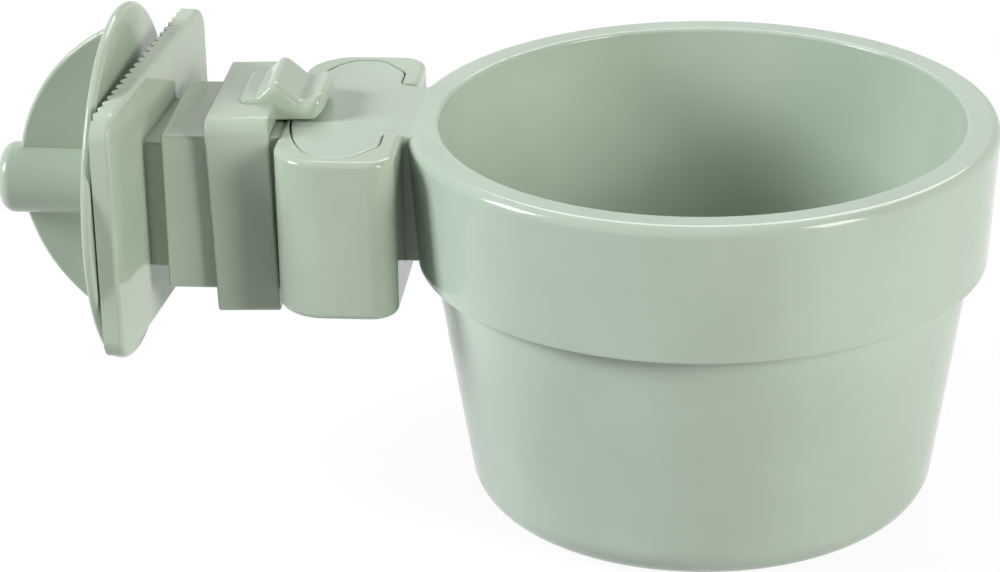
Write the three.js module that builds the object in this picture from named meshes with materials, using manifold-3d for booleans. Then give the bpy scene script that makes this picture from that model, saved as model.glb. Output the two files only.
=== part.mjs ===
// Locking crock: a small animal's food bowl that drops into a bracket clamped to cage wires.
// Millimetres, +Z up. The origin is the centre of the bowl's base; the bracket reaches towards -X.
import * as THREE from 'three';
import { mergeVertices } from 'three/addons/utils/BufferGeometryUtils.js';
import Module from 'manifold-3d';

const wasm = await Module();
wasm.setup();

// Bowl: a cup with a hanging skirt round its rim
const bowlHeight = 76.3;
const rimRadius = 56;
const rimLand = 6.3; // flat width of the rim's top
const rimRounding = 1.9;
const mouthRounding = 0.9;
const rimThickness = 2.4;
const skirtDrop = 26.8;
const skirtTaper = 1.6; // how far the skirt draws in towards its hem
const skirtWall = 2;
const cupWall = 2.2;
const cupShoulderInset = 0.5; // the mouth narrows by this much down to the skirt's hem
const baseRadius = 43.8; // where the tapered side would meet the table
const baseRounding = 7.5;
const floorThickness = 2.6;
const floorRounding = 9;
const bowlSegments = 64;

// Arm: level with the rim's top, and placed by its distance from the bowl's axis
const neckWidth = 26.8;
const bossLength = 18.5;
const bossWidth = 53;
const bossFarFlat = 3; // straight part of the boss's far side
const bossFarCorner = 9.6; // length of its far corners along the arm
const bossNearHalf = 20; // half the straight part of its near side
const bossNearCut = 4.8; // length along the arm of the slant that cuts each near corner
const bossNearRounding = 5; // between that slant and its side
const bossRise = 0.55; // how far boss and socket stand over the rim and the stem
const bossDepth = 25.2;
const bossWall = 2.6; // left round the core that opens downwards

// Bracket: a C-shaped socket round the boss and a hollow rectangular stem
const bossFit = 0.3;
const socketInset = 0.6; // its near face inside the rim's radius, clear of the rim beside the neck
const jawWall = 3.1;
const sideWall = 2.5;
const farWall = 0.8;
const socketDepth = 30.9;
const ledgeWidth = 3; // inner lip under the boss
const socketFarRounding = 8;
const socketNearRounding = 5;
const socketEdge = 1.1; // rounding of its top and bottom edges
const stemLength = 22.3;
const stemWidth = 30.8;
const stemDepth = 31;
const stemEdge = 0.7;

// Lock collar: a sleeve that slides on the stem, its tongue reaching over the boss
const collarFit = 0.45;
const collarLength = 12;
const collarGap = 1.1; // to the socket
const collarTopWall = 3.6;
const collarBottomWall = 3.1;
const collarSideWall = 1.9;
const collarEdge = 2;
const collarLean = 1.6; // degrees that the loose sleeve leans back towards the clamp
const tongueWidth = 16.8;
const tongueReach = 9.3; // past the collar
const tongueThickness = 3.4;
const tongueClearance = 0.7; // over the stem's top
const tongueLip = 4.5; // height of the upturned end
const ridgeHeight = 3.7; // of the crest over the collar's top
const padLength = 6.9; // raised thumb pad on the collar, ridge included
const padHeight = 0.9;
const padStep = 0.55; // its front face, under the slope to its top
const crestFoot = 3.4; // where the ridge rises from the pad, before the collar's end
const crestFlat = 0.6;
const seam = 0.3; // between sleeve and tongue, two nodes of one moulding
const crestOverTongue = 0.5; // the crest's last bit, on the tongue
const valleyStart = 4.6; // past the collar's end
const valleyEnd = 5.7;
const lipTop = 1.4; // thickness of the upturned end at its top
const lipSlope = 1.6; // length of the slope under it
const lipRise = 1.2; // height of that slope
const lipLean = 0.5; // how far the end face leans out
const lipChamfer = 0.6;

// Clamp: plate, screw and wing knob
const axisDrop = 15.4; // screw axis under the arm's top face
const plateGap = 2.9; // to the stem's end
const plateWidth = 65.5;
const plateHeight = 49;
const plateRise = 0.4; // its middle over the screw axis
const plateThickness = 3.8; // teeth included
const plateCorner = 4.8;
const toothPitch = 2.9;
const toothDepth = 1.1;
const plateRock = 5.7; // degrees that the loose plate is turned about the vertical
const spigotWidth = 24;
const spigotHeight = 25.6;
const spigotReach = 6; // inside the stem
const spigotSidePlay = 0.65;
const spigotTopPlay = 0.3;
const spigotCorner = 0.6;
const pocketDepth = 9;
const screwHole = 5.2; // radius, through plate and spigot
const threadRadius = 4;
const threadDepth = 0.8;
const threadPitch = 3;
const threadSides = 12;
const threadRows = 4; // rings of points in each turn
const threadPlay = 0.6; // radius of the stem's bore over the thread
const screwEndGap = 0.8; // bottom of the bore past the screw's end
const boreEndWall = 0.9; // left between the bore and the boss's socket
const screwInHub = 14;
const screwFit = 0.3;
const knobLean = 1.8; // degrees that screw and knob stand off square
const discGap = 2.6; // plate to disc on the axis
const discRadius = 34.5;
const discThickness = 1.9;
const discEdge = 0.5;
const hubRadius = 6.9;
const hubLength = 23.6; // past the disc's outer face
const hubDome = 2.4;
const finHeight = 20.2;
const finHalfChord = 32.4;
const finThickness = 2;
const finTurn = 5; // degrees that the fin is turned about the screw axis
const finSink = 0.6; // the fin's root inside the disc
const knobSegments = 48;
const finSegments = 20;

const past = 1; // how far a cut runs past what it cuts, and a root into what it joins

// Distances from the bowl's axis along the arm
const socketNear = rimRadius - socketInset;
const bossNear = socketNear + jawWall + bossFit;
const bossFar = bossNear + bossLength;
const socketFar = bossFar + bossFit + farWall;
const stemFar = socketFar + stemLength;
const boreEnd = bossFar + bossFit + boreEndWall;
const boreStart = stemFar - pocketDepth;
const collarNear = socketFar + collarGap;
const collarFar = collarNear + collarLength;
const plateNear = stemFar + plateGap;
const plateFar = plateNear + plateThickness;
const discNear = plateFar + discGap;
const discFar = discNear + discThickness;

// Heights
const armTop = bowlHeight;
const bossTop = armTop + bossRise;
const axisZ = armTop - axisDrop;
const bossBottom = armTop - bossDepth;
const socketBottom = armTop - socketDepth;
const stemBottom = armTop - stemDepth;
const skirtBottom = bowlHeight - skirtDrop;

const plastic = (name, color, roughness) =>
  new THREE.MeshStandardMaterial({ name, color, roughness, metalness: 0 });
const bowlPlastic = plastic('bowl_plastic', 0xb4c6b0, 0.22);
const clampPlastic = plastic('clamp_plastic', 0xa9bda2, 0.28);

// A closed three.js geometry as a solid for joining and cutting
function solid(geometry) {
  const bare = geometry.clone();
  bare.deleteAttribute('normal');
  bare.deleteAttribute('uv');
  const merged = mergeVertices(bare, 1e-4);
  return new wasm.Manifold(new wasm.Mesh({
    numProp: 3,
    vertProperties: new Float32Array(merged.attributes.position.array),
    triVerts: new Uint32Array(merged.index.array),
  }));
}

function piece(name, shape, material) {
  const mesh = shape.getMesh();
  const geometry = new THREE.BufferGeometry();
  geometry.setAttribute('position', new THREE.BufferAttribute(mesh.vertProperties, 3));
  geometry.setIndex(new THREE.BufferAttribute(mesh.triVerts, 1));
  geometry.computeVertexNormals();
  const result = new THREE.Mesh(geometry, material);
  result.name = name;
  return result;
}

// Extrudes a plan outline in XY from z0 up to z1, its top and bottom edges rounded by edge
function prism(outline, z0, z1, edge = 0) {
  const geometry = new THREE.ExtrudeGeometry(outline, {
    depth: z1 - z0 - 2 * edge,
    bevelEnabled: edge > 0,
    bevelThickness: edge,
    bevelSize: edge,
    bevelOffset: -edge,
    bevelSegments: 2,
    curveSegments: 8,
  });
  geometry.translate(0, 0, z0 + edge);
  return solid(geometry);
}

// Extrudes an outline drawn in (y, z) from x0 to x1
function bar(outline, x0, x1) {
  const settings = { depth: x1 - x0, bevelEnabled: false, curveSegments: 6 };
  const geometry = new THREE.ExtrudeGeometry(outline, settings);
  geometry.rotateX(Math.PI / 2);
  geometry.rotateZ(Math.PI / 2);
  geometry.translate(x0, 0, 0);
  return solid(geometry);
}

// Extrudes an outline drawn in (x, z) across the arm, from y0 to y1
function slice(outline, y0, y1) {
  const settings = { depth: y1 - y0, bevelEnabled: false, curveSegments: 6 };
  const geometry = new THREE.ExtrudeGeometry(outline, settings);
  geometry.rotateX(Math.PI / 2);
  geometry.translate(0, y1, 0);
  return solid(geometry);
}

function outlineOf(points) {
  return new THREE.Shape(points.map(([u, v]) => new THREE.Vector2(u, v)));
}

function rectangle(u0, u1, v0, v1, corner = 0) {
  if (corner === 0) {
    return outlineOf([[u0, v0], [u1, v0], [u1, v1], [u0, v1]]);
  }
  const shape = new THREE.Shape();
  shape.absarc(u1 - corner, v0 + corner, corner, -Math.PI / 2, 0);
  shape.absarc(u1 - corner, v1 - corner, corner, 0, Math.PI / 2);
  shape.absarc(u0 + corner, v1 - corner, corner, Math.PI / 2, Math.PI);
  shape.absarc(u0 + corner, v0 + corner, corner, Math.PI, 1.5 * Math.PI);
  return shape;
}

function box(x0, x1, y0, y1, z0, z1) {
  return prism(rectangle(x0, x1, y0, y1), z0, z1);
}

function cylinderX(radius, x0, x1) {
  const geometry = new THREE.CylinderGeometry(radius, radius, x1 - x0, 24);
  geometry.rotateZ(Math.PI / 2);
  geometry.translate((x0 + x1) / 2, 0, 0);
  return solid(geometry);
}

// Revolves points given as [radius, height] about Z
function revolve(points, segments) {
  const geometry = new THREE.LatheGeometry(points.map(([u, v]) => new THREE.Vector2(u, v)), segments);
  geometry.rotateX(Math.PI / 2);
  return solid(geometry);
}

// Points of a circular arc, both ends included
function arc(centreU, centreV, radius, from, to, steps) {
  const points = [];
  for (let i = 0; i <= steps; i += 1) {
    const angle = THREE.MathUtils.degToRad(from + (to - from) * i / steps);
    points.push([centreU + radius * Math.cos(angle), centreV + radius * Math.sin(angle)]);
  }
  return points;
}

// The rounded corner between a level floor and a side that leans out by lean degrees
function floorCorner(radius, height, rounding, lean, steps) {
  const tan = Math.tan(THREE.MathUtils.degToRad(lean));
  const cos = Math.cos(THREE.MathUtils.degToRad(lean));
  const centre = radius + rounding * tan - rounding / cos;
  return arc(centre, height + rounding, rounding, -90, -lean, steps);
}

// Plan outline of the boss, grown outwards by offset
function bossOutline(offset) {
  const half = bossWidth / 2;
  const flat = bossFarFlat / 2;
  const crown = bossFarCorner - bossFar;
  const reach = bossFarCorner + offset;
  const rise = half + offset - flat;
  const slant = Math.atan2(half - bossNearHalf, bossNearCut);
  const bend = -bossNear - bossNearCut - bossNearRounding * Math.tan(slant / 2);
  const side = half - bossNearRounding;
  const rounding = bossNearRounding + offset;
  const near = -bossNear + offset;
  const corner = bossNearHalf + offset * (1 - Math.sin(slant)) / Math.cos(slant);
  const shape = new THREE.Shape();
  shape.absellipse(crown, -flat, reach, rise, Math.PI, 1.5 * Math.PI);
  shape.absarc(bend, -side, rounding, -Math.PI / 2, slant - Math.PI / 2);
  shape.lineTo(near, -corner);
  shape.lineTo(near, corner);
  shape.absarc(bend, side, rounding, Math.PI / 2 - slant, Math.PI / 2);
  shape.absellipse(crown, flat, reach, rise, Math.PI / 2, Math.PI);
  return shape;
}

function makeBowl() {
  const mouth = rimRadius - rimLand;
  const hem = rimRadius - skirtTaper;
  const shoulder = mouth - cupShoulderInset;
  const lean = Math.atan2(shoulder + cupWall - baseRadius, skirtBottom);
  const sideLean = THREE.MathUtils.radToDeg(lean);
  const floorRadius = baseRadius + floorThickness * Math.tan(lean) - cupWall / Math.cos(lean);
  const grooveTop = bowlHeight - rimThickness;
  const profile = [
    [0, 0],
    ...floorCorner(baseRadius, 0, baseRounding, sideLean, 4),
    [shoulder + cupWall, skirtBottom],
    [mouth + cupWall, grooveTop],
    [rimRadius - skirtWall, grooveTop],
    [hem - skirtWall, skirtBottom],
    [hem, skirtBottom],
    ...arc(rimRadius - rimRounding, bowlHeight - rimRounding, rimRounding, 0, 90, 3),
    ...arc(mouth + mouthRounding, bowlHeight - mouthRounding, mouthRounding, 90, 180, 2),
    [shoulder, skirtBottom],
    ...floorCorner(floorRadius, floorThickness, floorRounding, sideLean, 5).reverse(),
    [0, floorThickness],
  ];
  const cup = revolve(profile, bowlSegments);
  // The arm is cut back to the middle of the skirt's wall, so the groove behind it stays open, and
  // above the groove it runs on to the middle of the rim's top
  const inside = revolve([
    [0, 0],
    [hem - skirtWall / 2, 0],
    [hem - skirtWall / 2, skirtBottom],
    [rimRadius - skirtWall / 2, bowlHeight - rimThickness / 2],
    [rimRadius - rimLand / 2, bowlHeight - rimThickness / 2],
    [rimRadius - rimLand / 2, bowlHeight],
    [0, bowlHeight],
  ], bowlSegments);
  const neckOutline = outlineOf([
    [-bossNear - bossFit, bossBottom],
    [-hem + rimLand, bossBottom],
    [-hem + rimLand, armTop],
    [-rimRadius + rimRounding, armTop],
    [-bossNear, bossTop],
    [-bossNear - bossFit, bossTop],
  ]);
  const neck = slice(neckOutline, -neckWidth / 2, neckWidth / 2);
  const boss = prism(bossOutline(0), bossBottom, bossTop);
  const coreTop = bossTop - bossWall;
  const bossCore = prism(bossOutline(-bossWall), bossBottom - past, coreTop);
  const coreHalf = neckWidth / 2 - bossWall;
  const coreFar = -bossNear - bossWall - past;
  const neckCore = box(coreFar, -rimRadius - bossFit, -coreHalf, coreHalf, bossBottom - past, coreTop);
  const arm = neck.add(boss).subtract(inside).subtract(bossCore).subtract(neckCore);
  return piece('bowl', cup.add(arm), bowlPlastic);
}

function makeBracket() {
  const half = bossWidth / 2 + bossFit + sideWall;
  const outer = new THREE.Shape();
  const r = socketFarRounding;
  const q = socketNearRounding;
  outer.absarc(-socketFar + r, -half + r, r, Math.PI, 1.5 * Math.PI);
  outer.absarc(-socketNear - q, -half + q, q, -Math.PI / 2, 0);
  outer.absarc(-socketNear - q, half - q, q, 0, Math.PI / 2);
  outer.absarc(-socketFar + r, half - r, r, Math.PI / 2, Math.PI);
  const block = prism(outer, socketBottom, bossTop, socketEdge);
  const cavity = prism(bossOutline(bossFit), bossBottom - bossFit, bossTop + past);
  const lowerCavity = prism(bossOutline(bossFit - ledgeWidth), socketBottom - past, bossTop + past);
  const slotHalf = neckWidth / 2 + bossFit;
  const slotFar = -bossNear - ledgeWidth;
  const slotFoot = bossBottom - bossFit;
  const slot = box(slotFar, -socketNear + past, -slotHalf, slotHalf, slotFoot, bossTop + past);
  const stemSection = rectangle(-stemWidth / 2, stemWidth / 2, stemBottom, armTop, stemEdge);
  const stem = bar(stemSection, -stemFar, -bossFar - bossFit);
  const pocketHalf = spigotWidth / 2 + spigotSidePlay;
  const pocketRise = spigotHeight / 2 + spigotTopPlay;
  const pocketHole = rectangle(-pocketHalf, pocketHalf, axisZ - pocketRise, axisZ + pocketRise);
  const pocket = bar(pocketHole, -stemFar - past, -boreStart);
  const bore = cylinderX(threadRadius + threadPlay, -stemFar, -boreEnd).translate([0, 0, axisZ]);
  const socketed = block.add(stem).subtract(cavity).subtract(lowerCavity).subtract(slot);
  return piece('bracket', socketed.subtract(pocket).subtract(bore), clampPlastic);
}

// The collar group's own origin is the middle of its sleeve, so that it leans about it
const stemMiddle = (armTop + stemBottom) / 2;
const collarMiddle = new THREE.Vector3(-(collarNear + collarFar) / 2, 0, stemMiddle);
const stemRise = stemDepth / 2;
const sleeveTop = stemRise + collarFit + collarTopWall;

function makeCollar() {
  const openHalf = stemWidth / 2 + collarFit;
  const openRise = stemRise + collarFit;
  const half = openHalf + collarSideWall;
  const bottom = -openRise - collarBottomWall;
  const right = collarLength / 2;
  const sleeve = bar(rectangle(-half, half, bottom, sleeveTop, collarEdge), -right, right);
  const opening = box(-right - past, right + past, -openHalf, openHalf, -openRise, openRise);
  const padOutline = outlineOf([
    [right - padLength, sleeveTop - collarEdge],
    [right - padLength, sleeveTop + padStep],
    [right - padLength + padHeight, sleeveTop + padHeight],
    [right - crestFoot, sleeveTop + padHeight],
    [right - crestFlat, sleeveTop + ridgeHeight],
    [right, sleeveTop + ridgeHeight],
    [right, sleeveTop - collarEdge],
  ]);
  const pad = slice(padOutline, -tongueWidth / 2, tongueWidth / 2);
  return piece('lock_collar', sleeve.subtract(opening).add(pad), clampPlastic);
}

function makeTongue() {
  const middle = collarLength / 2;
  const start = middle + seam;
  const end = middle + tongueReach;
  const bottom = stemRise + tongueClearance;
  const outline = outlineOf([
    [start, bottom],
    [end - lipSlope, bottom],
    [end - lipLean, bottom + lipRise],
    [end, bottom + tongueLip - lipChamfer],
    [end - lipChamfer, bottom + tongueLip],
    [end - lipTop, bottom + tongueLip],
    [middle + valleyEnd, bottom + tongueThickness],
    [middle + valleyStart, bottom + tongueThickness],
    [start + crestOverTongue, sleeveTop + ridgeHeight],
    [start, sleeveTop + ridgeHeight],
  ]);
  return piece('lock_tongue', slice(outline, -tongueWidth / 2, tongueWidth / 2), clampPlastic);
}

// Plate and spigot about their own pivot: the middle of the spigot's seat, on the screw axis
const platePivot = new THREE.Vector3(-(stemFar - spigotReach / 2), 0, axisZ);

function makePlate() {
  const face = -(plateNear - stemFar + spigotReach / 2);
  const root = face - plateThickness + toothDepth;
  const teeth = Math.floor((plateWidth - 2 * plateCorner) / toothPitch);
  const half = plateWidth / 2;
  const start = -teeth * toothPitch / 2;
  const points = [[face, -half], [face, half], [root - toothDepth, half], [root - toothDepth, -start]];
  for (let i = 0; i < teeth; i += 1) {
    const y = -start - i * toothPitch;
    points.push([root, y - toothPitch / 2], [root - toothDepth, y - toothPitch]);
  }
  points.push([root - toothDepth, -half]);
  const rise = plateHeight / 2;
  const toothed = prism(outlineOf(points), plateRise - rise, plateRise + rise);
  const behind = face - plateThickness - past;
  const front = rectangle(-half, half, plateRise - rise, plateRise + rise, plateCorner);
  const rounded = bar(front, behind, face + past);
  const spigotHalf = spigotWidth / 2;
  const spigotRise = spigotHeight / 2;
  const spigotSection = rectangle(-spigotHalf, spigotHalf, -spigotRise, spigotRise, spigotCorner);
  const spigot = bar(spigotSection, face - past, spigotReach / 2);
  const hole = cylinderX(screwHole, behind, spigotReach / 2 + past);
  return piece('clamp_plate', toothed.intersect(rounded).add(spigot).subtract(hole), clampPlastic);
}

// Screw and knob about a pivot in the middle of the stem's bore
const knobPivot = new THREE.Vector3(-(boreStart + boreEnd) / 2, 0, axisZ);

// A threaded rod: the radius follows a helix round the X axis
function makeScrew() {
  const inner = -knobPivot.x - boreEnd - screwEndGap;
  const outer = -(discFar + knobPivot.x + screwInHub);
  const sides = threadSides;
  const rows = Math.round((inner - outer) / threadPitch * threadRows);
  const positions = [];
  const index = [];
  for (let j = 0; j <= rows; j += 1) {
    const x = outer + (inner - outer) * j / rows;
    for (let i = 0; i < sides; i += 1) {
      const turn = i / sides;
      const phase = (x / threadPitch - turn) % 1;
      const wave = Math.abs(((phase + 1) % 1) * 2 - 1);
      const atEnd = j === 0 || j === rows;
      const radius = threadRadius - threadDepth * (atEnd ? 1 : wave);
      const angle = turn * 2 * Math.PI;
      positions.push(x, radius * Math.cos(angle), radius * Math.sin(angle));
    }
  }
  for (let j = 0; j < rows; j += 1) {
    for (let i = 0; i < sides; i += 1) {
      const a = j * sides + i;
      const b = j * sides + (i + 1) % sides;
      index.push(a, b, b + sides, a, b + sides, a + sides);
    }
  }
  const last = rows * sides;
  for (let i = 1; i < sides - 1; i += 1) {
    index.push(0, i + 1, i);
    index.push(last, last + i, last + i + 1);
  }
  const geometry = new THREE.BufferGeometry();
  geometry.setAttribute('position', new THREE.BufferAttribute(new Float32Array(positions), 3));
  geometry.setIndex(index);
  geometry.computeVertexNormals();
  const screw = new THREE.Mesh(geometry, clampPlastic);
  screw.name = 'clamp_screw';
  return screw;
}

function makeKnob() {
  const near = -(discNear + knobPivot.x);
  const far = near - discThickness;
  const hubEnd = far - hubLength;
  const profile = [
    [0, -near],
    [discRadius - discEdge, -near],
    [discRadius, -near + discEdge],
    [discRadius, -far - discEdge],
    [discRadius - discEdge, -far],
    [hubRadius, -far],
    ...arc(hubRadius - hubDome, -hubEnd - hubDome, hubDome, 0, 90, 3),
    [0, -hubEnd],
  ];
  const turned = revolve(profile, knobSegments).rotate([0, -90, 0]);
  const chordRadius = (finHalfChord ** 2 + finHeight ** 2) / (2 * finHeight);
  const spread = THREE.MathUtils.radToDeg(Math.asin(finHalfChord / chordRadius));
  const finOutline = outlineOf([
    ...arc(far + chordRadius - finHeight, 0, chordRadius, 180 - spread, 180 + spread, finSegments),
    [far + finSink, -finHalfChord],
    [far + finSink, finHalfChord],
  ]);
  const fin = slice(finOutline, -finThickness / 2, finThickness / 2).rotate([finTurn, 0, 0]);
  const socket = cylinderX(threadRadius + screwFit, far - screwInHub - screwFit, near + past);
  return piece('wing_knob', turned.add(fin).subtract(socket), clampPlastic);
}

const group = new THREE.Group();
group.add(makeBowl(), makeBracket());

const collarGroup = new THREE.Group();
collarGroup.position.copy(collarMiddle);
collarGroup.rotation.y = THREE.MathUtils.degToRad(-collarLean);
collarGroup.add(makeCollar(), makeTongue());
group.add(collarGroup);

const plateGroup = new THREE.Group();
plateGroup.position.copy(platePivot);
plateGroup.rotation.z = THREE.MathUtils.degToRad(-plateRock);
plateGroup.add(makePlate());
group.add(plateGroup);

const knobGroup = new THREE.Group();
knobGroup.position.copy(knobPivot);
knobGroup.rotation.z = THREE.MathUtils.degToRad(-knobLean);
knobGroup.add(makeScrew(), makeKnob());
group.add(knobGroup);

export default group;
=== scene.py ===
import bmesh
import bpy
import numpy as np
from mathutils import Matrix, Vector


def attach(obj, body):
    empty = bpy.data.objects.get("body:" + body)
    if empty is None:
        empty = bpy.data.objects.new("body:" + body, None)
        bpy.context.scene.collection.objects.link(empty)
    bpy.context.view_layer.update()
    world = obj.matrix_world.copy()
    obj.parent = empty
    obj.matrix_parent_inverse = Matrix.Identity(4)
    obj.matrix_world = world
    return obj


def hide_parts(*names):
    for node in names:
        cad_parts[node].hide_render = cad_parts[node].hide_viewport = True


mm = 0.001  # shapes below are worked out in millimetres
hair = 0.02  # keeps two faces from sharing a plane
past = 5  # how far a cutter reaches beyond what it cuts
capRadius = 1  # of the flat cap that ends a turned profile
alongArm = (1, 2, 0)  # an outline drawn in (y, z) and raised along x

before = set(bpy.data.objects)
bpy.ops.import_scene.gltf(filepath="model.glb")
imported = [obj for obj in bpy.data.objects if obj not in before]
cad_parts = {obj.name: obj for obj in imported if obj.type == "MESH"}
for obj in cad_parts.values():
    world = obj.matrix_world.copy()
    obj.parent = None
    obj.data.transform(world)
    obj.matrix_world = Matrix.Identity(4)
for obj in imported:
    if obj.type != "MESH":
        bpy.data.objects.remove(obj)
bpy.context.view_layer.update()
print("frame loaded:", ", ".join(sorted(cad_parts)))

# the photographer's view: a long lens looking down on the crock, slightly turned and rolled
camera = {
    "place": (30.09, -636.22, 316.6),
    "lookDown": 23.34,
    "turn": 6.2,
    "roll": -1.26,
    "lens": 129.6,
}


def placeCamera(view):
    # x axis, y axis and backward axis of a camera turned about Z, pitched down, then rolled
    turn, down, roll = np.radians([view["turn"], view["lookDown"], view["roll"]])
    spin = np.array([[np.cos(turn), -np.sin(turn), 0], [np.sin(turn), np.cos(turn), 0], [0, 0, 1]])
    ahead = spin @ np.array([0, np.cos(down), -np.sin(down)])
    up = spin @ np.array([0, np.sin(down), np.cos(down)])
    right = spin @ np.array([1.0, 0, 0])
    axisX = np.cos(roll) * right + np.sin(roll) * up
    axisY = -np.sin(roll) * right + np.cos(roll) * up
    rows = np.column_stack([axisX, axisY, -ahead, np.array(view["place"]) * mm])
    data = bpy.data.cameras.new("photo_camera")
    data.lens = view["lens"]
    data.sensor_width = 36
    data.clip_start = 0.01
    eye = bpy.data.objects.new("photo_camera", data)
    bpy.context.scene.collection.objects.link(eye)
    eye.matrix_world = Matrix([list(r) for r in rows] + [[0, 0, 0, 1]])
    bpy.context.scene.camera = eye


placeCamera(camera)
print("camera placed")


# helpers for surfaces

def arc(centre, radius, start, end, steps):
    # points of a circular arc or, with two radii, of an elliptical one, both ends included
    a = np.radians(np.linspace(start, end, steps + 1))
    reach = np.broadcast_to(radius, 2)
    return np.column_stack([centre[0] + reach[0] * np.cos(a), centre[1] + reach[1] * np.sin(a)])


def filleted(corners, radii, steps=8):
    # closed polygon whose corners give way to arcs that touch both sides
    corners = np.array(corners, float)
    before = np.roll(corners, 1, 0) - corners
    after = np.roll(corners, -1, 0) - corners
    before /= np.linalg.norm(before, axis=1)[:, None]
    after /= np.linalg.norm(after, axis=1)[:, None]
    half = np.arccos(np.clip((before * after).sum(1), -1, 1)) / 2
    radii = np.broadcast_to(np.array(radii, float), len(corners))
    reach = radii / np.tan(half)
    middle = before + after
    middle /= np.linalg.norm(middle, axis=1)[:, None]
    centre = corners + middle * (radii / np.sin(half))[:, None]
    first = corners + before * reach[:, None] - centre
    last = corners + after * reach[:, None] - centre
    t = np.linspace(0, 1, steps + 1)[None, :, None]
    sweep = (np.pi - 2 * half)[:, None, None]
    points = np.sin((1 - t) * sweep) * first[:, None] + np.sin(t * sweep) * last[:, None]
    points = points / np.sin(sweep) + centre[:, None]
    return points.reshape(-1, 2)


def roundedBox(left, right, low, high, radii, steps=8):
    # a rectangle with rounded corners, anticlockwise from its lower left one
    return filleted([(left, low), (right, low), (right, high), (left, high)], radii, steps)


def outward(outline):
    # unit normals of a closed anticlockwise outline, from the chord through each point's neighbours
    chord = np.roll(outline, -1, 0) - np.roll(outline, 1, 0)
    chord /= np.linalg.norm(chord, axis=1)[:, None]
    return np.column_stack([chord[:, 1], -chord[:, 0]])


def ringFaces(rows, count, capFirst=True, capLast=True):
    # quads between successive rings of the same count, with flat caps on the first and last
    j, i = np.meshgrid(np.arange(rows - 1), np.arange(count), indexing="ij")
    k = (i + 1) % count
    quads = np.stack([j * count + i, j * count + k, (j + 1) * count + k, (j + 1) * count + i], -1)
    faces = quads.reshape(-1, 4).tolist()
    if capFirst:
        faces.append(list(range(count))[::-1])
    if capLast:
        faces.append(list(range((rows - 1) * count, rows * count)))
    return faces


def newPiece(name, points, faces):
    # an object at the origin, from points in millimetres
    mesh = bpy.data.meshes.new(name)
    mesh.from_pydata((np.asarray(points, float).reshape(-1, 3) * mm).tolist(), [], faces)
    mesh.update()
    piece = bpy.data.objects.new(name, mesh)
    bpy.context.scene.collection.objects.link(piece)
    return piece


def turned(name, profile, around=256):
    # profile points (radius, height) carried round Z; both ends close in a flat cap
    a = np.linspace(0, 2 * np.pi, around, endpoint=False)
    profile = np.asarray(profile, float)
    rings = np.stack([profile[:, :1] * np.cos(a), profile[:, :1] * np.sin(a),
                      np.repeat(profile[:, 1:], around, 1)], -1)
    return newPiece(name, rings, ringFaces(len(profile), around))


def pressed(name, outline, low, high, lowEdge, highEdge, axes=(0, 1, 2), steps=5):
    # an anticlockwise outline raised from low to high, its end edges rounded by a quarter circle
    # lowEdge and highEdge are radii, one for all or one for each outline point
    side = outward(outline)
    a = np.radians(np.linspace(0, 90, steps + 1))
    lowEdge = np.broadcast_to(np.asarray(lowEdge, float), len(outline))[:, None]
    highEdge = np.broadcast_to(np.asarray(highEdge, float), len(outline))[:, None]
    rings = []
    for angle in a:
        inset, level = lowEdge * (1 - np.sin(angle)), low + lowEdge * (1 - np.cos(angle))
        rings.append(np.column_stack([outline - side * inset, level]))
    for angle in a[::-1]:
        inset, level = highEdge * (1 - np.sin(angle)), high - highEdge * (1 - np.cos(angle))
        rings.append(np.column_stack([outline - side * inset, level]))
    rings = np.array(rings)
    placed = np.empty_like(rings)
    placed[..., axes[0]] = rings[..., 0]
    placed[..., axes[1]] = rings[..., 1]
    placed[..., axes[2]] = rings[..., 2]
    return newPiece(name, placed, ringFaces(len(rings), len(outline)))


def vertices(piece):
    # the mesh's points in millimetres
    points = np.empty(len(piece.data.vertices) * 3)
    piece.data.vertices.foreach_get("co", points)
    return points.reshape(-1, 3) / mm


def setVertices(piece, points):
    piece.data.vertices.foreach_set("co", (points * mm).ravel())
    piece.data.update()


def cutAcross(piece, place):
    # edges all round where the plane X = place crosses the piece
    work = bmesh.new()
    work.from_mesh(piece.data)
    parts = work.verts[:] + work.edges[:] + work.faces[:]
    bmesh.ops.bisect_plane(work, geom=parts, plane_co=(place * mm, 0, 0), plane_no=(1, 0, 0))
    work.to_mesh(piece.data)
    work.free()


def settle(piece):
    # the result of its modifiers becomes the piece's mesh
    depsgraph = bpy.context.evaluated_depsgraph_get()
    done = bpy.data.meshes.new_from_object(piece.evaluated_get(depsgraph))
    old = piece.data
    piece.modifiers.clear()
    piece.data = done
    bpy.data.meshes.remove(old)


def combine(piece, other, how):
    # adds or takes away the other piece, which is used up
    step = piece.modifiers.new(how, "BOOLEAN")
    step.operation = how
    step.solver = "EXACT"
    step.object = other
    settle(piece)
    bpy.data.objects.remove(other)


def moved(piece, matrix):
    # the mesh moves and the object stays at the origin
    piece.data.transform(matrix)
    return piece


def turnAbout(point, degrees, axis):
    # a turn about an axis through the point: to the origin, round, and back
    here = Matrix.Translation(Vector(point) * mm)
    return here @ Matrix.Rotation(np.radians(degrees), 4, axis) @ here.inverted()


def finishPiece(piece, nodes, body, material, crease=32):
    # smooth faces with sharp edges past the crease angle, and normals that keep the flats flat
    piece.data.shade_smooth()
    piece.data.set_sharp_from_angle(angle=np.radians(crease))
    flats = piece.modifiers.new("flats", "WEIGHTED_NORMAL")
    flats.keep_sharp = True
    flats.weight = 50
    settle(piece)
    piece.data.materials.clear()
    piece.data.materials.append(material)
    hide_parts(*nodes)
    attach(piece, body)
    print(piece.name, "has", len(piece.data.polygons), "faces")


# materials

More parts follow.
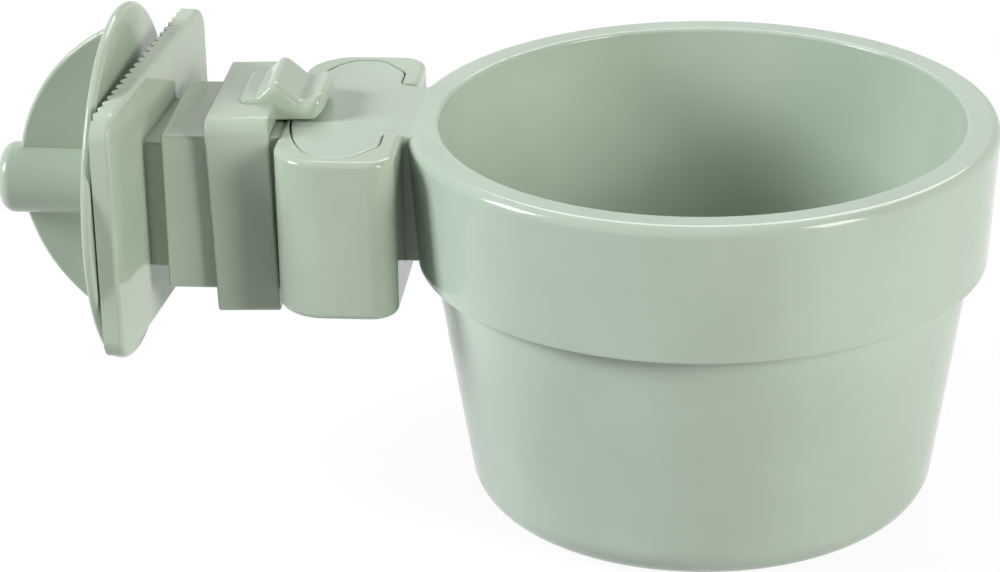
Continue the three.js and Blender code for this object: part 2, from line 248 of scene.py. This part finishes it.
plastic = {
    "bowlLight": (183, 197, 181),
    "bowlDeep": (175, 189, 172),
    "bowlRipple": 0.12,
    "clampLight": (182, 195, 177),
    "clampDeep": (174, 187, 168),
    "clampRipple": 0.16,
    "roughness": 0.11,
    "worn": 0.22,
    "refraction": 1.5,
    "shine": 0.3,
    "cloudScale": 28,
    "cloudRange": (0.35, 0.65),
    "rubScale": 90,
    "rubRange": (0.52, 0.8),
    "rippleScale": 160,
    "rippleDepth": 0.2,
}


def colour(rgb):
    # linear colour of an 8-bit sRGB one
    c = np.array(rgb) / 255
    return (*np.where(c <= 0.04045, c / 12.92, ((c + 0.055) / 1.055) ** 2.4), 1)


def mouldedSkin(p):
    # one group for both plastics: slow clouds in the pigment, fine rubbed marks, and the faint
    # ripple that a polished mould leaves
    group = bpy.data.node_groups.new("mouldedSkin", "ShaderNodeTree")
    for label in ("Cloud Scale", "Rub Scale", "Ripple Scale"):
        group.interface.new_socket(label, in_out="INPUT", socket_type="NodeSocketFloat")
    for label in ("Cloud", "Rubbed", "Ripple"):
        group.interface.new_socket(label, in_out="OUTPUT", socket_type="NodeSocketFloat")
    nodes, links = group.nodes, group.links
    given = nodes.new("NodeGroupInput")
    result = nodes.new("NodeGroupOutput")
    place = nodes.new("ShaderNodeTexCoord")

    def noise(scale, detail):
        texture = nodes.new("ShaderNodeTexNoise")
        texture.inputs["Detail"].default_value = detail
        links.new(place.outputs["Object"], texture.inputs["Vector"])
        links.new(given.outputs[scale], texture.inputs["Scale"])
        return texture

    def stretched(texture, bounds, label):
        # the noise between the two bounds, spread over 0 to 1
        spread = nodes.new("ShaderNodeMapRange")
        spread.inputs["From Min"].default_value = bounds[0]
        spread.inputs["From Max"].default_value = bounds[1]
        links.new(texture.outputs["Fac"], spread.inputs["Value"])
        links.new(spread.outputs["Result"], result.inputs[label])

    stretched(noise("Cloud Scale", 3), p["cloudRange"], "Cloud")
    rub = noise("Rub Scale", 6)
    rub.inputs["Roughness"].default_value = 0.7
    rub.inputs["Distortion"].default_value = 1.5
    stretched(rub, p["rubRange"], "Rubbed")
    ripple = noise("Ripple Scale", 1)
    links.new(ripple.outputs["Fac"], result.inputs["Ripple"])
    return group


skin = mouldedSkin(plastic)


def glossPlastic(name, p, kind):
    # the pigment drifts between the kind's two colours with the clouds, and the polish turns to
    # worn in the rubbed marks
    material = bpy.data.materials.new(name)
    material.use_nodes = True
    nodes, links = material.node_tree.nodes, material.node_tree.links
    shader = nodes["Principled BSDF"]
    shader.inputs["IOR"].default_value = p["refraction"]
    shader.inputs["Specular IOR Level"].default_value = p["shine"]
    surface = nodes.new("ShaderNodeGroup")
    surface.node_tree = skin
    surface.inputs["Cloud Scale"].default_value = p["cloudScale"]
    surface.inputs["Rub Scale"].default_value = p["rubScale"]
    surface.inputs["Ripple Scale"].default_value = p["rippleScale"]
    tint = nodes.new("ShaderNodeMix")
    tint.data_type = "RGBA"
    tint.inputs["A"].default_value = colour(p[kind + "Light"])
    tint.inputs["B"].default_value = colour(p[kind + "Deep"])
    links.new(surface.outputs["Cloud"], tint.inputs["Factor"])
    links.new(tint.outputs["Result"], shader.inputs["Base Color"])
    polish = nodes.new("ShaderNodeMapRange")
    polish.inputs["To Min"].default_value = p["roughness"]
    polish.inputs["To Max"].default_value = p["worn"]
    links.new(surface.outputs["Rubbed"], polish.inputs["Value"])
    links.new(polish.outputs["Result"], shader.inputs["Roughness"])
    bump = nodes.new("ShaderNodeBump")
    bump.inputs["Strength"].default_value = p[kind + "Ripple"]
    bump.inputs["Distance"].default_value = p["rippleDepth"] * mm
    links.new(surface.outputs["Ripple"], bump.inputs["Height"])
    links.new(bump.outputs["Normal"], shader.inputs["Normal"])
    return material


bowlPlastic = glossPlastic("bowl_plastic", plastic, "bowl")
clampPlastic = glossPlastic("clamp_plastic", plastic, "clamp")
print("plastics mixed")


# bowl

bowl = {
    "height": 76.3,
    "rimRadius": 56.0,
    "rimLand": 6.3,
    "rimOuterEdge": 1.9,
    "rimInnerEdge": 0.7,
    "rimThickness": 2.4,
    "skirtDrop": 26.8,
    "skirtTaper": 1.6,
    "skirtWall": 2.0,
    "hemEdge": 0.45,
    "cupWall": 2.2,
    "shoulderInset": 0.5,
    "baseRadius": 43.8,
    "baseEdge": 7.5,
    "gateMark": [(0.9, 0.25), (1.2, 0.05), (1.6, 0)],
    "wallFoot": (1.4, 9),  # out from the base's edge, and up
    "grooveChamfer": (0.5, 0.6),  # aside, and down
    "floorThickness": 2.6,
    "floorEdge": 9.0,
    "floorFlat": 20,
}
arm = {
    "top": 76.3,
    "rise": 0.55,
    "neckWidth": 26.8,
    "near": 58.9,
    "far": 77.4,
    "width": 53.0,
    "farFlat": 3.0,
    "farCorner": 9.6,
    "nearHalf": 20.0,
    "nearCut": 4.8,
    "nearRounding": 5.0,
    "nearTip": 1.3,
    "depth": 25.2,
    "wall": 2.6,
    "edge": 0.45,
    "footEdge": 0.4,
    "crownDepth": 3,  # the points in it climb with the neck
    "neckFillet": 1.4,
    "coreEdge": 0.6,
    "coreStart": 0.3,
    "coreOverlap": 1,
    "coreNeckCorner": 0.3,
    "coreNeckEdge": 0.4,
    "rimTrim": 3,  # how far in under the rim the arm reaches
    "rimBite": 0.3,  # and how far up into it
}


def cupProfile(b):
    # from the middle of the underside out over the skirt and rim and down inside to the floor
    mouth = b["rimRadius"] - b["rimLand"]
    hem = b["rimRadius"] - b["skirtTaper"]
    skirtBottom = b["height"] - b["skirtDrop"]
    shoulder = mouth - b["shoulderInset"]
    lean = np.arctan2(shoulder + b["cupWall"] - b["baseRadius"], skirtBottom)
    leanDegrees = np.degrees(lean)

    def corner(radius, height, rounding):
        # an arc from the flat at that height into the leaning wall
        middle = radius + rounding * np.tan(lean) - rounding / np.cos(lean)
        return arc((middle, height + rounding), rounding, -90, -leanDegrees, 16)

    floorRadius = b["baseRadius"] + b["floorThickness"] * np.tan(lean) - b["cupWall"] / np.cos(lean)
    grooveTop = b["height"] - b["rimThickness"]
    grooveIn, grooveOut = mouth + b["cupWall"], b["rimRadius"] - b["skirtWall"]
    aside, down = b["grooveChamfer"]
    out, up = b["wallFoot"]
    wallTop = (shoulder + b["cupWall"], skirtBottom)
    e, i, h = b["rimOuterEdge"], b["rimInnerEdge"], b["hemEdge"]
    return np.vstack([
        b["gateMark"],
        corner(b["baseRadius"], 0, b["baseEdge"]),
        np.linspace((b["baseRadius"] + out, up), wallTop, 6)[1:],
        [(grooveIn, grooveTop - down), (grooveIn + aside, grooveTop)],
        [(grooveOut - aside, grooveTop), (grooveOut, grooveTop - down)],
        arc((hem - b["skirtWall"] + h, skirtBottom + h), h, 180, 270, 4),
        arc((hem - h, skirtBottom + h), h, 270, 360, 5),
        arc((b["rimRadius"] - e, b["height"] - e), e, 0, 90, 12),
        arc((mouth + i, b["height"] - i), i, 90, 180, 8),
        [(shoulder, skirtBottom)],
        corner(floorRadius, b["floorThickness"], b["floorEdge"])[::-1],
        [(b["floorFlat"], b["floorThickness"]), (capRadius, b["floorThickness"])],
    ])


def softCorner(before, tip, after, steps=6):
    # a quadratic curve that leaves before towards the tip and arrives at after from it
    t = np.linspace(0, 1, steps + 1)[:, None]
    before, tip, after = np.array(before), np.array(tip), np.array(after)
    return (1 - t) ** 2 * before + 2 * t * (1 - t) * tip + t ** 2 * after


def bossHalf(a, offset):
    # the boss's plan on the +Y side, from the neck round to the middle of its far side: a straight
    # near side, a slanting cut, an arc into the side, then a quarter of an ellipse
    half = a["width"] / 2
    flat = a["farFlat"] / 2
    slant = np.arctan2(half - a["nearHalf"], a["nearCut"])
    near = -a["near"] + offset
    tip = np.array([near, a["nearHalf"] + offset * (1 - np.sin(slant)) / np.cos(slant)])
    bend = -a["near"] - a["nearCut"] - a["nearRounding"] * np.tan(slant / 2)
    along = np.array([-np.cos(slant), np.sin(slant)])
    rounding = a["nearRounding"]
    crown = (a["farCorner"] - a["far"], flat)
    reach = (a["farCorner"] + offset, half + offset - flat)
    return np.vstack([
        softCorner(tip - [0, a["nearTip"]], tip, tip + along * a["nearTip"]),
        arc((bend, half - rounding), rounding + offset, 90 - np.degrees(slant), 90, 12),
        arc(crown, reach, 90, 180, 32)[1:],
    ])


def mirrored(half):
    # a half plan on the +Y side, closed by its image on the -Y side
    return np.vstack([half, half[::-1] * [1, -1]])


def makeBowl(b, a):
    # a turned cup joined with the arm, whose neck and boss are one plan cored from below
    cup = turned("bowl_shell", cupProfile(b))
    neckHalf = a["neckWidth"] / 2
    inner = -b["rimRadius"] + b["rimLand"] / 2
    f = a["neckFillet"]
    neck = np.vstack([[(inner, neckHalf)], arc((-a["near"] + f, neckHalf + f), f, 270, 180, 6)])
    plan = mirrored(np.vstack([neck, bossHalf(a, 0)]))
    bottom = a["top"] - a["depth"]
    # its top lies a hair under the rim's, so that the two never share a plane, and climbs on the
    # neck to stand proud of the bracket
    body = pressed("arm", plan, bottom, a["top"] - hair, a["footEdge"], a["edge"])
    foot = -b["rimRadius"] + b["rimOuterEdge"]
    for place in (foot, -a["near"]):
        cutAcross(body, place)
    points = vertices(body)
    climb = np.clip((foot - points[:, 0]) / (foot + a["near"]), 0, 1)
    points[:, 2] += a["rise"] * climb * (points[:, 2] > a["top"] - a["crownDepth"])
    setVertices(body, points)
    coreTop = a["top"] + a["rise"] - a["wall"]
    under = bottom - past
    core = pressed("core", mirrored(bossHalf(a, -a["wall"])), under, coreTop, 0, a["coreEdge"])
    coreHalf = neckHalf - a["wall"]
    coreNear = -b["rimRadius"] - a["coreStart"]
    coreFar = -a["near"] - a["wall"] - a["coreOverlap"]
    coreNeck = filleted([(coreNear, -coreHalf), (coreNear, coreHalf),
                         (coreFar, coreHalf), (coreFar, -coreHalf)], a["coreNeckCorner"], 3)
    lane = pressed("coreNeck", coreNeck, under, coreTop - hair, 0, a["coreNeckEdge"])
    combine(core, lane, "UNION")
    combine(body, core, "DIFFERENCE")
    # the arm ends in the middle of the skirt's wall, so that the groove behind it stays open
    middle = b["rimRadius"] - b["skirtWall"] / 2
    hem = middle - b["skirtTaper"]
    inRim = b["height"] - b["rimThickness"] + a["rimBite"]
    behind = b["rimRadius"] - a["rimTrim"]
    over = b["height"] + past
    trim = [(capRadius, -past), (hem, -past), (hem, b["height"] - b["skirtDrop"]), (middle, inRim),
            (behind, inRim), (behind, over), (capRadius, over)]
    combine(body, turned("trim", trim), "DIFFERENCE")
    combine(cup, body, "UNION")
    return cup


bowlPiece = makeBowl(bowl, arm)
finishPiece(bowlPiece, ["bowl"], "bowl", bowlPlastic)


# bracket

socket = {
    "fit": 0.3,
    "near": 55.4,
    "far": 78.5,
    "sideWall": 2.5,
    "depth": 30.9,
    "ledge": 3.0,
    "farRounding": 9.5,
    "nearRounding": 5.0,
    "edge": 1.2,
    "seatEdge": 0.3,
    "slotCorner": 0.3,
    "softening": 0.22,
}
stem = {
    "end": 100.8,
    "width": 30.8,
    "depth": 31.0,
    "edge": 0.9,
    "endEdge": 0.4,
    "root": 2,
    "rootEdge": 0.1,
    "axis": 15.4,
    "pocketWidth": 25.3,
    "pocketHeight": 26.2,
    "pocketDepth": 9.0,
    "pocketCorner": 0.8,
    "pocketEdge": 0.3,
    "bore": 4.6,
    "boreEnd": 78.6,
}


def makeBracket(s, t, a):
    # the socket's block with the stem behind it, cut out for the boss, the neck, the clamp
    # plate's spigot and the screw
    half = a["width"] / 2 + s["fit"] + s["sideWall"]
    slotHalf = a["neckWidth"] / 2 + s["fit"]
    far, near = s["farRounding"], s["nearRounding"]
    outer = filleted([(-s["far"], half), (-s["far"], -half),
                      (-s["near"], -half), (-s["near"], half)], [far, far, near, near], 12)
    bottom, over = a["top"] - s["depth"], a["top"] + past
    top, edge = a["top"] + a["rise"], s["edge"]
    body = pressed("bracket_body", outer, bottom, top, edge, edge, steps=7)
    w = t["width"] / 2
    section = roundedBox(-w, w, a["top"] - t["depth"], a["top"], t["edge"], 6)
    root = -s["far"] + t["root"]
    bar = pressed("stem", section, -t["end"], root, t["endEdge"], t["rootEdge"], axes=alongArm)
    combine(body, bar, "UNION")
    seat = a["top"] - a["depth"] - s["fit"]
    cavity = mirrored(bossHalf(a, s["fit"]))
    combine(body, pressed("cavity", cavity, seat, over, s["seatEdge"], 0), "DIFFERENCE")
    throat = mirrored(bossHalf(a, s["fit"] - s["ledge"]))
    combine(body, pressed("throat", throat, bottom - past, over, 0, 0), "DIFFERENCE")
    slotFar, slotNear = -a["near"] - s["ledge"], -s["near"] + past
    slot = roundedBox(slotFar, slotNear, -slotHalf, slotHalf, s["slotCorner"], 2)
    combine(body, pressed("slot", slot, seat - hair, over, 0, 0), "DIFFERENCE")
    axis = a["top"] - t["axis"]
    w, h = t["pocketWidth"] / 2, t["pocketHeight"] / 2
    pocket = roundedBox(-w, w, axis - h, axis + h, t["pocketCorner"], 4)
    mouth, pocketEnd = -t["end"] - past, -t["end"] + t["pocketDepth"]
    hollow = pressed("pocket", pocket, mouth, pocketEnd, 0, t["pocketEdge"], axes=alongArm)
    combine(body, hollow, "DIFFERENCE")
    bore = arc((0, axis), t["bore"], 0, 360, 48)[:-1]
    drill = pressed("bore", bore, mouth, -t["boreEnd"], 0, t["pocketEdge"], axes=alongArm)
    combine(body, drill, "DIFFERENCE")
    return body


bracketPiece = makeBracket(socket, stem, arm)
soften = bracketPiece.modifiers.new("soften", "BEVEL")
soften.width = socket["softening"] * mm
soften.segments = 3
soften.limit_method = "ANGLE"
soften.angle_limit = np.radians(50)
finishPiece(bracketPiece, ["bracket"], "bracket", clampPlastic)


# lock

lock = {
    "near": 79.6,
    "length": 12.0,
    "fit": 0.45,
    "topWall": 3.6,
    "bottomWall": 3.1,
    "sideWall": 1.9,
    "edge": 3.0,
    "foot": 0.9,
    "endEdge": 0.45,
    "holeCorner": 0.5,
    "lean": 1.6,
    "padLength": 6.9,
    "padHeight": 0.9,
    "padCorner": 1.8,
    "padRamp": 0.5,
    "padEnd": 3.4,
    "crest": 3.85,
    "crestHalf": 0.6,
    "valley": (4.8, 5.7),
    "tongueWidth": 16.8,
    "tongueReach": 9.3,
    "tongueLift": 0.7,
    "tongueThickness": 3.4,
    "tongueRoot": 1.2,
    "lipHeight": 4.5,
    "lipCorner": 2.8,
    "lipLength": 1.2,
    "chinLength": 1.9,
    "chinRise": 1.5,
    "tipRounding": 0.9,
    "topEdges": (0.8, 0.9, 2.0, 2.0),  # at the pad's two ends, the ridge and the tip
    "underEdge": 0.5,
}


def lofted(name, along, top, bottom, half, topCorner, bottomCorner, arcSteps=6):
    # upright rounded-rectangle sections set side by side along the arm; each ring is the
    # section's four corner arcs, the upper pair and the lower pair with radii of their own
    along, top, bottom, half = (np.asarray(v, float) for v in (along, top, bottom, half))
    topCorner = np.minimum(topCorner, np.minimum((top - bottom) * 0.7, half * 0.9))
    bottomCorner = np.minimum(bottomCorner, np.minimum((top - bottom) * 0.25, half * 0.9))
    upper, lower = topCorner[:, None], bottomCorner[:, None]
    top, bottom, half = top[:, None], bottom[:, None], half[:, None]
    quarter = np.radians(np.linspace(0, 90, arcSteps + 1))
    sides = []
    corners = ((upper, top - upper, 0, 1), (upper, top - upper, 90, -1),
               (lower, bottom + lower, 180, -1), (lower, bottom + lower, 270, 1))
    for radius, level, start, signY in corners:
        a = quarter + np.radians(start)
        y = signY * (half - radius) + radius * np.cos(a)
        sides.append(np.stack([y, level + radius * np.sin(a)], -1))
    ring = np.concatenate(sides, 1)
    x = np.repeat(along[:, None, None], ring.shape[1], 1)
    return newPiece(name, np.concatenate([x, ring], -1), ringFaces(len(along), ring.shape[1]))


def smoothSteps(x, knots, values, blur):
    # a line through the knots, its corners rounded by averaging over blur either side
    shifts = np.linspace(-blur, blur, 21)
    weights = 1 - np.abs(shifts) / blur * 0.999
    return sum(w * np.interp(x + s, knots, values) for s, w in zip(shifts, weights)) / weights.sum()


def makeLock(k, t, a):
    # a sleeve round the stem, drawn about its own middle and then leaned and set in place
    rise = t["depth"] / 2
    middleZ = a["top"] - rise
    middleX = -k["near"] - k["length"] / 2
    openHalf = t["width"] / 2 + k["fit"]
    openRise = rise + k["fit"]
    half = openHalf + k["sideWall"]
    top = openRise + k["topWall"]
    bottom = -openRise - k["bottomWall"]
    right = k["length"] / 2
    section = roundedBox(-half, half, bottom, top, [k["foot"], k["foot"], k["edge"], k["edge"]])
    edge = k["endEdge"]
    sleeve = pressed("lock_slider", section, -right, right, edge, edge, axes=alongArm)
    hole = roundedBox(-openHalf, openHalf, -openRise, openRise, k["holeCorner"], 4)
    through = right + past
    combine(sleeve, pressed("hole", hole, -through, through, 0, 0, axes=alongArm), "DIFFERENCE")
    # thumb pad, ridge and tongue in one run along the arm: its top is a line through the knots, its
    # foot lies inside the sleeve's wall and drops to the tongue's underside where that ends
    start, end = right - k["padLength"], right + k["tongueReach"]
    x = start + (end - start) * (1 - np.cos(np.linspace(0, np.pi, 180))) / 2
    under = rise + k["tongueLift"]
    pad, crest = top + k["padHeight"], top + k["crest"]
    valley, lip = under + k["tongueThickness"], under + k["lipHeight"]
    knots = [(start - k["padRamp"], top - 0.2), (start + k["padRamp"], pad),
             (right - k["padEnd"], pad),
             (right - k["crestHalf"], crest), (right + k["crestHalf"], crest),
             (right + k["valley"][0], valley), (right + k["valley"][1], valley),
             (end - k["lipLength"], lip), (end + 1, lip)]
    upper = smoothSteps(x, *np.transpose(knots), 0.9)
    chin = [(right - 2, under), (end - k["chinLength"], under),
            (end, under + k["chinRise"]), (end + 1, under + 2)]
    lower = smoothSteps(x, *np.transpose(chin), 0.6)
    # towards its end the tip shuts along a quarter circle, more from above than from below
    r = k["tipRounding"]
    close = np.clip(end - x, 0, r)
    shut = r - np.sqrt(np.maximum(r ** 2 - (r - close) ** 2, 0))
    lower = np.where(x < right - 0.1, top - k["tongueRoot"], lower + shut * 0.6)
    upper = upper - shut * 0.9

    def rounded(distance, radius):
        # how far a corner of that radius draws the side in, at a distance from the end
        d = np.clip(distance, 0, radius)
        return radius - np.sqrt(np.maximum(radius ** 2 - (radius - d) ** 2, 0.01))

    narrowing = rounded(x - start, k["padCorner"]) + rounded(end - x, k["lipCorner"])
    width = k["tongueWidth"] / 2 - narrowing
    soft = np.interp(x, [start, right - k["padEnd"], right - 0.8, end], k["topEdges"])
    combine(sleeve, lofted("tongue", x, upper, lower, width, soft, k["underEdge"]), "UNION")
    middle = Matrix.Translation(Vector((middleX, 0, middleZ)) * mm)
    return moved(sleeve, middle @ Matrix.Rotation(np.radians(-k["lean"]), 4, "Y"))


lockPiece = makeLock(lock, stem, arm)
finishPiece(lockPiece, ["lock_collar", "lock_tongue"], "lock", clampPlastic)


# toothed plate

plate = {
    "gap": 2.9,
    "width": 65.5,
    "height": 49.0,
    "rise": 0.4,
    "thickness": 3.8,
    "corner": 4.8,
    "faceEdge": 0.9,
    "toothPitch": 2.9,
    "toothDepth": 1.1,
    "toothMargin": 2.2,
    "toothCurve": 0.8,
    "blank": 2,  # what the teeth's curtain cuts away again
    "rock": 5.7,
    "roll": 0.8,
    "spigotWidth": 24.0,
    "spigotHeight": 25.6,
    "spigotReach": 6.0,
    "spigotCorner": 0.8,
    "spigotEdge": 0.5,
    "hole": 5.2,
}


def makePlate(p, t, a):
    # a plate toothed towards the wires, with a spigot for the stem's pocket and the screw's hole
    axis = a["top"] - t["axis"]
    near = -t["end"] - p["gap"]
    w, h = p["width"] / 2, p["height"] / 2
    low, high = axis + p["rise"] - h, axis + p["rise"] + h
    outline = roundedBox(-w, w, low, high, p["corner"], 10)
    lead = near - p["thickness"]
    blank, side = lead - p["blank"], w + p["blank"]
    body = pressed("toothed_plate", outline, blank, near, 0, p["faceEdge"], axes=alongArm, steps=6)
    # rows of rounded teeth: the back is cut by a curtain whose depth is |sin| across the plate
    teeth = int((p["width"] - 2 * p["toothMargin"]) // p["toothPitch"])
    span = teeth * p["toothPitch"] / 2
    y = np.linspace(-span, span, teeth * 8 + 1)
    wave = np.abs(np.sin(np.pi * (y + span) / p["toothPitch"])) ** p["toothCurve"]
    back = lead + p["toothDepth"] * (1 - wave)
    curtain = np.vstack([
        [(lead, -side), (lead, -span - hair / 2)],
        np.column_stack([back, y]),
        [(lead, span + hair / 2), (lead, side), (lead - past, side), (lead - past, -side)],
    ])
    combine(body, pressed("curtain", curtain, low - past, high + past, 0, 0), "DIFFERENCE")
    w, h = p["spigotWidth"] / 2, p["spigotHeight"] / 2
    section = roundedBox(-w, w, axis - h, axis + h, p["spigotCorner"], 5)
    reach = -t["end"] + p["spigotReach"]
    spigot = pressed("spigot", section, near - 1, reach, 0, p["spigotEdge"], axes=alongArm)
    combine(body, spigot, "UNION")
    hole = arc((0, axis), p["hole"], 0, 360, 48)[:-1]
    drill = pressed("hole", hole, lead - past, reach + past, 0, 0, axes=alongArm)
    combine(body, drill, "DIFFERENCE")
    pivot = (-t["end"] + p["spigotReach"] / 2, 0, axis)
    rock, roll = turnAbout(pivot, -p["rock"], "Z"), turnAbout(pivot, p["roll"], "X")
    return moved(body, rock @ roll)


platePiece = makePlate(plate, stem, arm)
finishPiece(platePiece, ["clamp_plate"], "plate", clampPlastic, crease=40)


# screw and wing knob

knob = {
    "pivot": 85.2,
    "lean": 1.8,
    "discNear": 110.1,
    "discThickness": 1.9,
    "discRadius": 34.5,
    "discEdge": 0.85,
    "hubRadius": 6.9,
    "hubLength": 23.6,
    "hubDome": 2.6,
    "hubFillet": 0.7,
    "bore": 4.3,
    "boreDepth": 15,
    "boreEdge": 0.3,
    "finHeight": 20.2,
    "finHalfChord": 32.4,
    "finThickness": 2.0,
    "finEdge": 0.8,
    "finRoot": 0.6,
    "finRootEdge": 0.05,
    "finTurn": 5,
}
screw = {
    "near": 79.4,
    "inHub": 14.0,
    "radius": 4.0,
    "threadDepth": 0.8,
    "pitch": 3.0,
    "crest": 0.25,  # shares of the pitch's half
    "flank": 0.45,
    "runOut": 1.2,
    "around": 48,
}


def leaned(piece, k, axis):
    # knob and screw stand a little askew, about a point inside the stem's bore
    return moved(piece, turnAbout((-k["pivot"], 0, axis), -k["lean"], "Z"))


def makeKnob(k, t, a):
    # disc and hub turned about the screw's axis, and a fin whose outline is a circle's segment
    axis = a["top"] - t["axis"]
    near, far = k["discNear"], k["discNear"] + k["discThickness"]
    end = far + k["hubLength"]
    e, f, d = k["discEdge"], k["hubFillet"], k["hubDome"]
    bore, lead = k["bore"], k["boreEdge"]
    profile = np.vstack([
        [(bore, near + k["boreDepth"]), (bore, near + lead), (bore + lead, near)],
        arc((k["discRadius"] - e, near + e), e, -90, 0, 8),
        arc((k["discRadius"] - e, far - e), e, 0, 90, 8),
        arc((k["hubRadius"] + f, far + f), f, 270, 180, 6),
        arc((k["hubRadius"] - d, end - d), d, 0, 90, 12),
        [(capRadius, end)],
    ])
    body = turned("wing_knob_body", profile, 192)
    moved(body, Matrix.Rotation(np.radians(-90), 4, "Y"))
    chord = k["finHalfChord"]
    radius = (chord ** 2 + k["finHeight"] ** 2) / (2 * k["finHeight"])
    spread = np.degrees(np.arcsin(chord / radius))
    outline = arc((-far - k["finHeight"] + radius, 0), radius, 180 - spread, 180 + spread, 64)
    root = -far + k["finRoot"]
    outline = np.vstack([outline, [(root, -chord), (root, chord)]])
    w = k["finThickness"] / 2
    edge = np.full(len(outline), k["finEdge"])
    edge[-2:] = k["finRootEdge"]
    fin = pressed("fin", outline, -w, w, edge, edge, axes=(0, 2, 1), steps=6)
    fin.data.flip_normals()
    moved(fin, Matrix.Rotation(np.radians(k["finTurn"]), 4, "X"))
    combine(body, fin, "UNION")
    moved(body, Matrix.Translation((0, 0, axis * mm)))
    return leaned(body, k, axis)


def makeScrew(s, k, t, a):
    # a rod whose radius follows the thread: flat crests and roots with sloping flanks, wound
    # once for every pitch along the axis
    axis = a["top"] - t["axis"]
    outer = k["discNear"] + k["discThickness"] + s["inHub"]
    x = np.linspace(s["near"], outer, int((outer - s["near"]) / s["pitch"] * 12))
    turn = np.linspace(0, 1, s["around"], endpoint=False)
    phase = (x[:, None] / s["pitch"] + turn[None, :]) % 1
    flank = np.clip((np.abs(phase * 2 - 1) - s["crest"]) / s["flank"], 0, 1)
    fade = np.clip(np.minimum(x - s["near"], outer - x) / s["runOut"], 0, 1)[:, None]
    radius = s["radius"] - s["threadDepth"] * (1 - flank * fade)
    angle = turn[None, :] * 2 * np.pi
    y, z = radius * np.sin(angle), axis + radius * np.cos(angle)
    rings = np.stack([-np.repeat(x[:, None], s["around"], 1), y, z], -1)
    return leaned(newPiece("threaded_stud", rings, ringFaces(len(x), s["around"])), k, axis)


knobPiece = makeKnob(knob, stem, arm)
finishPiece(knobPiece, ["wing_knob"], "knob", clampPlastic)
screwPiece = makeScrew(screw, knob, stem, arm)
finishPiece(screwPiece, ["clamp_screw"], "screw", clampPlastic, crease=50)


# floor and light

studio = {
    "floorSize": 8.0,
    "floorDrop": 0.3,
    "floorRoughness": 0.9,
    "floorWhite": 0.5,
    "floorGlow": 0.86,
    "glowStrength": 1.08,
    "world": 0.040,
    "aim": (-0.02, 0, 0.05),
    "boxes": [
        # name, place, width, height, power, colour
        ("right_box", (1.05, -0.8, 0.75), 0.45, 0.5, 8.6, (1, 1, 0.97)),
        ("right_low_box", (1.15, -0.8, 0.42), 0.45, 0.5, 9.2, (1, 1, 0.97)),
        ("left_box", (-1.3, -0.3, 0.75), 0.5, 0.6, 23.6, (0.94, 0.98, 1)),
        ("top_left_box", (-0.7, 0.1, 1.15), 0.6, 0.6, 0.5, (1, 1, 1)),
        ("back_box", (0.1, 0.9, 1.0), 0.9, 0.6, 9.3, (1, 1, 1)),
    ],
}


def cameraSees(nodes, links):
    # 1 for what the camera, a mirror or glass looks at, 0 for light on the object
    path = nodes.new("ShaderNodeLightPath")
    first = nodes.new("ShaderNodeMath")
    first.operation = "MAXIMUM"
    links.new(path.outputs["Is Camera Ray"], first.inputs[0])
    links.new(path.outputs["Is Glossy Ray"], first.inputs[1])
    second = nodes.new("ShaderNodeMath")
    second.operation = "MAXIMUM"
    links.new(first.outputs["Value"], second.inputs[0])
    links.new(path.outputs["Is Transmission Ray"], second.inputs[1])
    return second.outputs["Value"]


def makeStudio(s):
    # a floor and a world that look white to the camera and light the object less, and five soft
    # boxes that all aim at the middle of the object
    half, level = s["floorSize"] / 2 / mm, -s["floorDrop"]
    corners = [(-half, -half, level), (half, -half, level),
               (half, half, level), (-half, half, level)]
    floor = newPiece("floor", corners, [(0, 1, 2, 3)])
    paper = bpy.data.materials.new("white_floor")
    paper.use_nodes = True
    nodes, links = paper.node_tree.nodes, paper.node_tree.links
    shader = nodes["Principled BSDF"]
    shader.inputs["Base Color"].default_value = (s["floorWhite"],) * 3 + (1,)
    shader.inputs["Roughness"].default_value = s["floorRoughness"]
    glow = nodes.new("ShaderNodeEmission")
    glow.inputs["Strength"].default_value = s["glowStrength"]
    share = nodes.new("ShaderNodeMath")
    share.operation = "MULTIPLY"
    share.inputs[1].default_value = s["floorGlow"]
    links.new(cameraSees(nodes, links), share.inputs[0])
    both = nodes.new("ShaderNodeMixShader")
    links.new(share.outputs["Value"], both.inputs["Fac"])
    links.new(shader.outputs["BSDF"], both.inputs[1])
    links.new(glow.outputs["Emission"], both.inputs[2])
    links.new(both.outputs["Shader"], nodes["Material Output"].inputs["Surface"])
    floor.data.materials.append(paper)

    world = bpy.data.worlds.new("studio")
    world.use_nodes = True
    nodes, links = world.node_tree.nodes, world.node_tree.links
    room = nodes["Background"]
    room.inputs["Color"].default_value = (1, 1, 1, 1)
    room.inputs["Strength"].default_value = s["world"]
    white = nodes.new("ShaderNodeBackground")
    white.inputs["Strength"].default_value = 1
    both = nodes.new("ShaderNodeMixShader")
    links.new(cameraSees(nodes, links), both.inputs["Fac"])
    links.new(room.outputs["Background"], both.inputs[1])
    links.new(white.outputs["Background"], both.inputs[2])
    links.new(both.outputs["Shader"], nodes["World Output"].inputs["Surface"])
    bpy.context.scene.world = world

    for name, place, width, height, power, tint in s["boxes"]:
        data = bpy.data.lights.new(name, "AREA")
        data.shape = "RECTANGLE"
        data.size = width
        data.size_y = height
        data.energy = power
        data.color = tint
        box = bpy.data.objects.new(name, data)
        bpy.context.scene.collection.objects.link(box)
        ahead = Vector(s["aim"]) - Vector(place)
        turn = ahead.to_track_quat("-Z", "Y").to_matrix().to_4x4()
        box.matrix_world = Matrix.Translation(place) @ turn


makeStudio(studio)
bpy.context.scene.view_settings.view_transform = "Standard"
print("studio lit")
